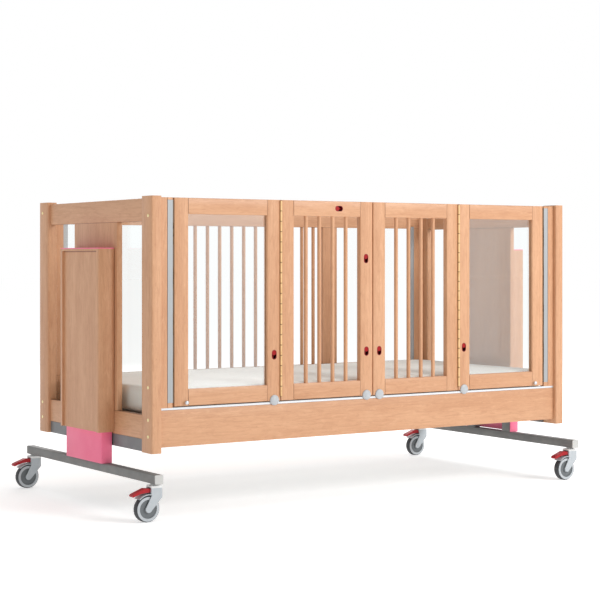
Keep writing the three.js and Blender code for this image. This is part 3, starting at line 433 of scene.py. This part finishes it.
def piano_brass():
    """Pale rolled brass: a painted shade line in the gap at every joint between two knuckles, and screw heads on the
    leaves with painted shade in their slots and round their rims.
    """
    finish = Finish("brass_hinge", Metallic=0.35)
    x, y, z = finish.place()
    tarnish = finish.noise(finish.vector(x, y, z), 60, 4, 0.6)
    colour = finish.mix(finish.rise(tarnish, 0.4, 0.75), tone(236, 200, 146), tone(222, 182, 126))
    low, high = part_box("piano_outer_leaf_left")
    pitch = (high.z - low.z) / PIANO_KNUCKLES
    from_joint = wrapped(z - low.z, pitch)
    back = FRONT_Y + KNUCKLE_BACK
    knuckle = 1 - finish.rise(y, back - FEATHER, back + FEATHER)
    # Painted shade in the gap at each joint between two knuckles
    gap_shade = knuckle * (1 - finish.rise(abs(from_joint), KNUCKLE_GAP_SHADE * 0.5, KNUCKLE_GAP_SHADE))
    colour = finish.mix(gap_shade, colour, tone(128, 88, 52))
    off_y, off_z = y - FRONT_Y - LEAF_SCREW_DEPTH, wrapped(z - low.z - pitch / 2, pitch * 2)
    reach = (off_y * off_y + off_z * off_z) ** 0.5
    head = (1 - knuckle) * (1 - finish.rise(reach, *SCREW_HEAD))
    # Painted shade in each screw's slot and round its head
    screw_shade = finish.rise(reach, *SCREW_RIM) + 1 - finish.rise(abs(off_z), *SCREW_SLOT)
    colour = finish.mix(head * screw_shade, colour, tone(112, 80, 50))
    finish.paint(colour, 0.36 + tarnish * 0.15)
    return finish.material


def moulded_plastic(name, colour, lighter, roughness, shine=0.5):
    """Moulded plastic with a fine grained surface."""
    finish = Finish(name, Specular_IOR_Level=shine)
    where = finish.vector(*finish.place())
    cloud = finish.noise(where, 40, 2)
    grain = finish.noise(where, 1600, 2)
    finish.paint(finish.mix(cloud, colour, lighter), roughness + grain * 0.12)
    finish.emboss(grain, 0.1, 0.0002)
    return finish


def fork_plastic():
    """Grey moulded castor fork with a white ring under the bar."""
    finish = moulded_plastic("fork_plastic", tone(180, 187, 192), tone(194, 200, 204), 0.4)
    x, y, z = finish.place()
    ring = finish.rise(z, FORK_RING - FEATHER, FORK_RING + FEATHER)
    finish.paint(finish.mix(ring, finish.painted(), tone(236, 237, 236)))
    return finish.material


def castor_wheel(name):
    """A castor wheel: dark tread, pale side rings, grey hub and a pale bearing boss."""
    low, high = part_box(name)
    axle_x, axle_z = (low.x + high.x) / 2 - MIDDLE_X, (low.z + high.z) / 2
    finish = Finish(f"{name}_finish")
    x, y, z = finish.place()
    off_x, off_z = x - axle_x, z - axle_z
    radius = (off_x * off_x + off_z * off_z) ** 0.5
    grain = finish.noise(finish.vector(x, y, z), 700, 2)
    colour = finish.mix(finish.rise(radius, *WHEEL_BOSS), tone(188, 193, 196), tone(104, 109, 112))
    colour = finish.mix(finish.rise(radius, *WHEEL_HUB), colour, tone(188, 193, 197))
    tread = finish.rise(radius, *WHEEL_TREAD)
    colour = finish.mix(tread, colour, tone(66, 68, 71))
    finish.paint(colour, 0.42 + tread * 0.25 + grain * 0.1)
    finish.emboss(grain, 0.15, 0.0003)
    return finish.material


def mattress_cloth():
    """Pale wipe-clean cover: a close weave with soft unevenness."""
    finish = Finish("mattress_cloth", Sheen_Weight=0.15, Sheen_Roughness=0.5)
    x, y, z = finish.place()
    weave = (x * WEAVE).sine() * (y * WEAVE).sine()
    cloud = finish.noise(finish.vector(x, y, z), 5, 3)
    creases = finish.noise(finish.vector(x * 3, y * 3, z * 8), 4, 3, 0.6, 0.8)
    colour = finish.mix(finish.rise(cloud, 0.3, 0.7), tone(228, 227, 221), tone(222, 221, 214))
    finish.paint(colour, 0.62 + cloud * 0.1)
    finish.emboss(creases + weave * 0.02, 0.35, 0.004)
    return finish.material


# Smooth shading for the turned and rounded parts of the solids, kept crisp at their edges

CRISP_ANGLE = math.radians(50)
WELD = 1e-5


def soft_shading():
    """A modifier tree that welds a solid's vertices and shades its gentle edges smooth."""
    group = bpy.data.node_groups.new("soft_shading", "GeometryNodeTree")
    group.interface.new_socket("Geometry", in_out="INPUT", socket_type="NodeSocketGeometry")
    group.interface.new_socket("Geometry", in_out="OUTPUT", socket_type="NodeSocketGeometry")
    start = group.nodes.new("NodeGroupInput")
    end = group.nodes.new("NodeGroupOutput")
    weld = group.nodes.new("GeometryNodeMergeByDistance")
    weld.inputs["Distance"].default_value = WELD
    faces = group.nodes.new("GeometryNodeSetShadeSmooth")
    edges = group.nodes.new("GeometryNodeSetShadeSmooth")
    edges.domain = "EDGE"
    angle = group.nodes.new("GeometryNodeInputMeshEdgeAngle")
    gentle = group.nodes.new("ShaderNodeMath")
    gentle.operation = "LESS_THAN"
    gentle.inputs[1].default_value = CRISP_ANGLE
    links = group.links
    links.new(start.outputs[0], weld.inputs["Geometry"])
    links.new(weld.outputs[0], faces.inputs["Geometry"])
    links.new(faces.outputs[0], edges.inputs["Geometry"])
    links.new(angle.outputs["Unsigned Angle"], gentle.inputs[0])
    links.new(gentle.outputs[0], edges.inputs["Shade Smooth"])
    links.new(edges.outputs[0], end.inputs[0])
    return group


def wear(node, material):
    """Gives a CAD node its finish."""
    mesh = nodes[node].data
    mesh.materials.clear()
    mesh.materials.append(material)


def rails_between(door, side):
    """The span of a door's rails: its edges less its stiles, on the left or the right."""
    return sorted((side * (door[0] + DOOR_STILE), side * (door[1] - DOOR_STILE)))


shading = soft_shading()
for name, piece in nodes.items():
    if name != "mattress":
        piece.modifiers.new("soft_shading", "NODES").node_group = shading

wear("side_board_front", beech("beech_board_front", 1.3, "x"))
wear("side_board_rear", beech("beech_board_rear", 5.1, "x"))
wear("rear_frame", beech("beech_rear", 8.4, "z", wall_rails("x", REAR_WINDOW), seams_and_shadow=wall_seams(REAR_WINDOW)))
wear("door_track", brushed_aluminium("aluminium_track", "x", *TRACK_GREYS))
wear("lying_frame", powder_coat("frame_grey", tone(118, 120, 122), tone(132, 134, 136)).material)
strip = brushed_aluminium("aluminium_strip", "z", *STRIP_GREYS, knuckles=JAMB_X)
door_pane = clear_sheet("door_sheet", 0.13)
wall_pane = clear_sheet("wall_sheet", 0.012)
pink = powder_coat("pink_coat", tone(252, 116, 152), tone(255, 126, 160)).material
grey = foot_coat()
dark_hinge = hinge_metal("dark_hinge", tone(120, 96, 72), tone(78, 60, 46))
brass = piano_brass()
disc = moulded_plastic("disc_plastic", tone(180, 184, 187), tone(194, 197, 200), 0.45).material
red = moulded_plastic("pedal_red", tone(166, 34, 40), tone(178, 44, 50), 0.36, 0.2).material
catch_red = moulded_plastic("catch_red", tone(150, 14, 20), tone(164, 22, 28), 0.34, 0.2).material
fork = fork_plastic()

SEEDS = {"left": 2.0, "right": 11.0}
for half, side in SIDES:
    seed = SEEDS[half]
    wear(f"post_front_{half}", beech(f"beech_post_front_{half}", seed))
    wear(f"post_rear_{half}", beech(f"beech_post_rear_{half}", seed + 1.7))
    # Column cover timber, with a painted shadow under its top lip
    wear(f"column_cover_{half}", beech(f"beech_cover_{half}", seed + 3.4, seams_and_shadow=cover_lip_shadow))
    end_timber = beech(f"beech_end_{half}", seed + 5.3, "z", wall_rails("y", END_WINDOW), seams_and_shadow=wall_seams(END_WINDOW))
    wear(f"end_frame_{half}", end_timber)
    catches = [(side * INNER_CATCH_X, LOW_CATCH_Z, True)]
    if half == "left":
        catches += [(*HIGH_CATCH, True), (*TOP_CATCH, False)]
    span = rails_between(INNER_DOOR, side)
    inner_timber = beech(f"beech_inner_{half}", seed + 7.9, "z", door_rails(span), catches, door_seams(span))
    wear(f"inner_door_{half}", inner_timber)
    catches = [(side * OUTER_CATCH_X, LOW_CATCH_Z, True)]
    span = rails_between(OUTER_DOOR, side)
    outer_timber = beech(f"beech_outer_{half}", seed + 9.6, "z", door_rails(span), catches, door_seams(span))
    wear(f"outer_door_{half}", outer_timber)
    wear(f"outer_door_pane_{half}", door_pane)
    wear(f"end_pane_{half}", wall_pane)
    wear(f"rear_pane_{half}", wall_pane)
    wear(f"column_lid_{half}", pink)
    wear(f"lift_cover_{half}", pink)
    wear(f"foot_{half}", grey)
    wear(f"jamb_strip_{half}", strip)
    wear(f"door_leaf_{half}", dark_hinge)
    for part in ("outer", "inner"):
        wear(f"piano_{part}_leaf_{half}", brass)
        wear(f"{part}_stop_disc_{half}", disc)
        wear(f"{part}_catch_{half}", catch_red)
    for row in ("front", "rear"):
        wear(f"fork_{row}_{half}", fork)
        wear(f"pedal_{row}_{half}", red)
        wear(f"wheel_{row}_{half}", castor_wheel(f"wheel_{row}_{half}"))
for part in ("high_catch", "top_catch"):
    wear(part, catch_red)


# Bolt caps and door knobs: profiles of (radius, height), and their places

CAP_PROFILE = (
    (0.0064, -0.001), (0.0064, 0.0005), (0.0056, 0.0011),
    (0.0026, 0.0014), (0.0022, 0.0005), (0.0, 0.0005),
)
KNOB_PROFILE = (
    (0.0045, -0.001), (0.0045, 0.004), (0.0075, 0.006), (0.008, 0.009),
    (0.0068, 0.0118), (0.0035, 0.0132), (0.0, 0.0135),
)
CAP_ROWS = (
    ("front", -0.479, (1.156, 0.499, 0.375, 0.311)),
    ("rear", 0.479, (1.187, 0.375, 0.311)),
)
KNOB_X = 0.893
KNOB_Z = 0.436
TURN_STEPS = 24


def piece_from(name, bm, material, body, smooth=True):
    """A finished piece: its mesh in place, riding on a body."""
    bmesh.ops.recalc_face_normals(bm, faces=bm.faces)
    mesh = bpy.data.meshes.new(name)
    bm.to_mesh(mesh)
    bm.free()
    mesh.materials.append(material)
    piece = bpy.data.objects.new(name, mesh)
    bpy.context.scene.collection.objects.link(piece)
    for polygon in mesh.polygons:
        polygon.use_smooth = smooth
    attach(piece, body)
    return piece


def turned(profile, direction, centre):
    """A turned piece: a profile spun round an axis, standing at centre."""
    bm = bmesh.new()
    points = [bm.verts.new((radius, 0, height)) for radius, height in profile]
    edges = [bm.edges.new(pair) for pair in zip(points, points[1:])]
    bmesh.ops.spin(
        bm, geom=points + edges, axis=(0, 0, 1), cent=(0, 0, 0),
        angle=2 * math.pi, steps=TURN_STEPS, use_merge=True,
    )
    bmesh.ops.remove_doubles(bm, verts=bm.verts, dist=1e-6)
    turn = Vector((0, 0, 1)).rotation_difference(Vector(direction)).to_matrix().to_4x4()
    bmesh.ops.transform(bm, matrix=Matrix.Translation(centre) @ turn, verts=bm.verts)
    return bm


cap_metal = hinge_metal("cap_metal", tone(255, 242, 186), tone(250, 228, 158), 0.1)
knob_metal = hinge_metal("knob_metal", tone(214, 218, 222), tone(188, 192, 197), 0.5)

for half, side in SIDES:
    face = MIDDLE_X + side * POST_FACE_X
    for row, depth, heights in CAP_ROWS:
        for step, height in enumerate(heights):
            cap = turned(CAP_PROFILE, (side, 0, 0), (face, depth, height))
            piece_from(f"bolt_cap_{row}_{half}_{step}", cap, cap_metal, "cot")
    knob = turned(KNOB_PROFILE, (0, -1, 0), (MIDDLE_X + side * KNOB_X, FRONT_Y, KNOB_Z))
    piece_from(f"door_knob_{half}", knob, knob_metal, f"outer_door_{half}")


# Glazing beads: widths, how far a metal one reaches past the rebate, its channel, and edge sizes

BEAD_GAP = 0.0005
BEAD_WIDTH = PANE_LAP - 0.0003
BEAD_REACH = 0.0105
BEAD_EDGE = 0.0006
BEAD_ROUND = 0.003
CHANNEL_RIM = 0.003
CHANNEL_DEPTH = 0.002


def bar_between(low, high):
    """A square bar between two corners."""
    bm = bmesh.new()
    bmesh.ops.create_cube(bm, size=1)
    bmesh.ops.scale(bm, vec=high - low, verts=bm.verts)
    bmesh.ops.translate(bm, vec=(low + high) / 2, verts=bm.verts)
    return bm


def metal_bead(low, high):
    """A channel-shaped aluminium bead, open towards the lying space."""
    bm = bar_between(low, high)
    face = next(face for face in bm.faces if face.normal.y < -0.9)
    bmesh.ops.inset_region(bm, faces=[face], thickness=CHANNEL_RIM, depth=-CHANNEL_DEPTH)
    bmesh.ops.bevel(bm, geom=bm.edges[:], offset=BEAD_EDGE, segments=2, profile=0.5, affect="EDGES", material=-1)
    return bm


def timber_bead(low, high, towards):
    """A timber bead, rounded along its one edge towards the window and the lying space."""
    bm = bar_between(low, high)
    faces = [face for face in bm.faces if face.normal.dot(Vector(towards)) > 0.5]
    edge = [edge for edge in faces[0].edges if edge in faces[1].edges[:]]
    bmesh.ops.bevel(bm, geom=edge, offset=BEAD_ROUND, segments=4, profile=0.5, affect="EDGES", material=-1)
    return bm


def bead_set(name, pane, face, body, metal_side=0):
    """Beads on a pane's inner face, up to a wall's inner face; metal_side is the side that has a metal one."""
    low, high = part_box(pane)
    inward = 1 if face > high.y else -1
    near, far = sorted((face - inward * BEAD_GAP, high.y if inward > 0 else low.y))
    left, right = low.x, high.x
    if metal_side:
        width = BEAD_WIDTH + BEAD_REACH
        ends = (right - width, right) if metal_side > 0 else (left, left + width)
        bar = metal_bead(Vector((ends[0], near, low.z)), Vector((ends[1], far, high.z)))
        piece_from(f"{name}_metal", bar, bead_metal, body, smooth=False)
        left, right = (left, ends[0] - BEAD_GAP) if metal_side > 0 else (ends[1] + BEAD_GAP, right)
    sill, lintel = low.z + BEAD_WIDTH, high.z - BEAD_WIDTH
    rows = {
        "top": ((left, lintel), (right, high.z), (0, -1)),
        "bottom": ((left, low.z), (right, sill), (0, 1)),
        "left": ((left, sill + BEAD_GAP), (left + BEAD_WIDTH, lintel - BEAD_GAP), (1, 0)),
        "right": ((right - BEAD_WIDTH, sill + BEAD_GAP), (right, lintel - BEAD_GAP), (-1, 0)),
    }
    if metal_side:
        del rows["right" if metal_side > 0 else "left"]
    for row, (start, end, window) in rows.items():
        towards = (window[0], inward, window[1])
        bar = timber_bead(Vector((start[0], near, start[1])), Vector((end[0], far, end[1])), towards)
        timber = bead_upright if window[0] else bead_level
        piece_from(f"{name}_{row}", bar, timber, body, smooth=False)


bead_metal = brushed_aluminium("aluminium_bead", "z", *STRIP_GREYS)
bead_upright = beech("beech_bead_upright", 2.9)
bead_level = beech("beech_bead_level", 6.2, "x")
for half, side in SIDES:
    bead_set(f"rear_bead_{half}", f"rear_pane_{half}", REAR_INNER_Y, "cot", side)
    bead_set(f"door_bead_{half}", f"outer_door_pane_{half}", -REAR_INNER_Y, f"outer_door_{half}")


# Mattress: how far the solid is taken in, its remeshed grain, and how far the cloth may move

MATTRESS_TAKE_IN = 0.004
MATTRESS_VOXEL = 0.018
MATTRESS_CAP = 0.007
MATTRESS_LIFT = 0.0002
MATTRESS_PRESSURE = 4
MATTRESS_FRAMES = 20


def baked(piece):
    """Applies a piece's modifiers to its mesh."""
    graph = bpy.context.evaluated_depsgraph_get()
    mesh = bpy.data.meshes.new_from_object(piece.evaluated_get(graph))
    piece.modifiers.clear()
    piece.data = mesh


def blown_up(piece, floor_z):
    """Fills a closed cover with air as cloth, with each point's move held to a limit."""
    start = [vertex.co.copy() for vertex in piece.data.vertices]
    cloth = piece.modifiers.new("cloth", "CLOTH")
    cloth.settings.use_pressure = True
    cloth.settings.uniform_pressure_force = MATTRESS_PRESSURE
    cloth.settings.effector_weights.gravity = 0
    scene = bpy.context.scene
    for step in range(1, MATTRESS_FRAMES + 1):
        scene.frame_set(step)
    baked(piece)
    scene.frame_set(1)
    for vertex, rest in zip(piece.data.vertices, start):
        move = vertex.co - rest
        if move.length > MATTRESS_CAP:
            vertex.co = rest + move.normalized() * MATTRESS_CAP
        vertex.co.z = max(vertex.co.z, floor_z)


def soft_mattress():
    """The cover filled from inside: the solid taken in a little, remeshed and blown up as cloth."""
    low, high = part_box("mattress")
    bm = bmesh.new()
    bm.from_mesh(nodes["mattress"].data)
    bmesh.ops.remove_doubles(bm, verts=bm.verts, dist=WELD)
    shrink = Vector([1 - 2 * MATTRESS_TAKE_IN / extent for extent in high - low])
    middle = (low + high) / 2
    bmesh.ops.scale(bm, vec=shrink, verts=bm.verts, space=Matrix.Translation(-middle))
    piece = piece_from("mattress_pad", bm, mattress_cloth(), "cot")
    remesh = piece.modifiers.new("remesh", "REMESH")
    remesh.mode = "VOXEL"
    remesh.voxel_size = MATTRESS_VOXEL
    baked(piece)
    blown_up(piece, low.z + MATTRESS_LIFT)
    smooth = piece.modifiers.new("smooth", "SUBSURF")
    smooth.levels = 1
    smooth.render_levels = 1
    baked(piece)
    for polygon in piece.data.polygons:
        polygon.use_smooth = True
    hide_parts("mattress")


soft_mattress()


# Floor: its glow close by and far off, the distances between, and the share of x in the distance; the glow is painted
# light, dimmer close by as a painted shadow round the cot

FLOOR_SIZE = 60
NEAR_GLOW = 0.47
FAR_GLOW = 0.68
GLOW_REACH = (0.6, 2.4)
GLOW_STRETCH = 0.4

# Light: the sky's share in diffuse light, then softboxes as (name, place, target, size, power)
SKY_LIGHT = 0.355
SOFTBOXES = (
    ("key", (3.5, -6.0, 4.0), (0, 0, 0.7), (3.0, 3.0), 308),
    ("top", (MIDDLE_X, 0.0, 4.5), (MIDDLE_X, 0.0, 0.0), (5.0, 4.0), 42),
    ("back", (2.5, 6.0, 4.0), (0, 0, 0.7), (4.0, 3.0), 110),
)

# Camera, fitted to the photo
CAMERA_PLACE = (MIDDLE_X - 3.9697, -5.9291, 0.9905)
CAMERA_TURN = (90, 0, -33.558)
CAMERA_LENS = 96.83
CAMERA_SHIFT = -0.0685


def floor():
    """A pale floor that glows a little, more so far from the cot, so that it fades into the backdrop; the glow is
    painted light, and its dimming close to the cot is a painted shadow.
    """
    bm = bmesh.new()
    bmesh.ops.create_grid(bm, x_segments=1, y_segments=1, size=FLOOR_SIZE)
    mesh = bpy.data.meshes.new("floor")
    bm.to_mesh(mesh)
    bm.free()
    finish = Finish("pale_floor", Roughness=0.8, Specular_IOR_Level=0.0, Emission_Strength=1.0)
    x, y, z = finish.place()
    reach = (x * x * GLOW_STRETCH + y * y) ** 0.5
    # Painted glow that dims towards the cot as a painted shadow
    glow = finish.rise(reach, *GLOW_REACH) * (FAR_GLOW - NEAR_GLOW) + NEAR_GLOW
    finish.feed(finish.shader.inputs["Emission Color"], finish.vector(glow, glow, glow))
    finish.paint((0.9, 0.9, 0.9, 1))
    mesh.materials.append(finish.material)
    piece = bpy.data.objects.new("floor", mesh)
    bpy.context.scene.collection.objects.link(piece)


def softbox(name, place, target, size, power):
    """A rectangular lamp that faces a target."""
    light = bpy.data.lights.new(name, "AREA")
    light.shape = "RECTANGLE"
    light.size, light.size_y = size
    light.energy = power
    lamp = bpy.data.objects.new(name, light)
    lamp.location = place
    lamp.rotation_euler = (Vector(target) - Vector(place)).to_track_quat("-Z", "Y").to_euler()
    bpy.context.scene.collection.objects.link(lamp)


def studio():
    """A white backdrop, dimmed for the light it throws on the cot, and the softboxes."""
    world = bpy.data.worlds.new("studio")
    bpy.context.scene.world = world
    world.use_nodes = True
    tree = world.node_tree
    backdrop = tree.nodes["Background"]
    backdrop.inputs["Color"].default_value = (1, 1, 1, 1)
    sight = tree.nodes.new("ShaderNodeLightPath")
    dimmed = tree.nodes.new("ShaderNodeMapRange")
    dimmed.inputs["To Min"].default_value = 1.0
    dimmed.inputs["To Max"].default_value = SKY_LIGHT
    tree.links.new(sight.outputs["Is Diffuse Ray"], dimmed.inputs["Value"])
    tree.links.new(dimmed.outputs[0], backdrop.inputs["Strength"])
    bpy.context.scene.view_settings.view_transform = "Standard"
    for box in SOFTBOXES:
        softbox(*box)


def camera():
    data = bpy.data.cameras.new("camera")
    data.sensor_width = 36
    data.lens = CAMERA_LENS
    data.shift_y = CAMERA_SHIFT
    data.clip_end = 200
    view = bpy.data.objects.new("camera", data)
    view.location = CAMERA_PLACE
    view.rotation_euler = [math.radians(angle) for angle in CAMERA_TURN]
    bpy.context.scene.collection.objects.link(view)
    bpy.context.scene.camera = view


floor()
studio()
camera()
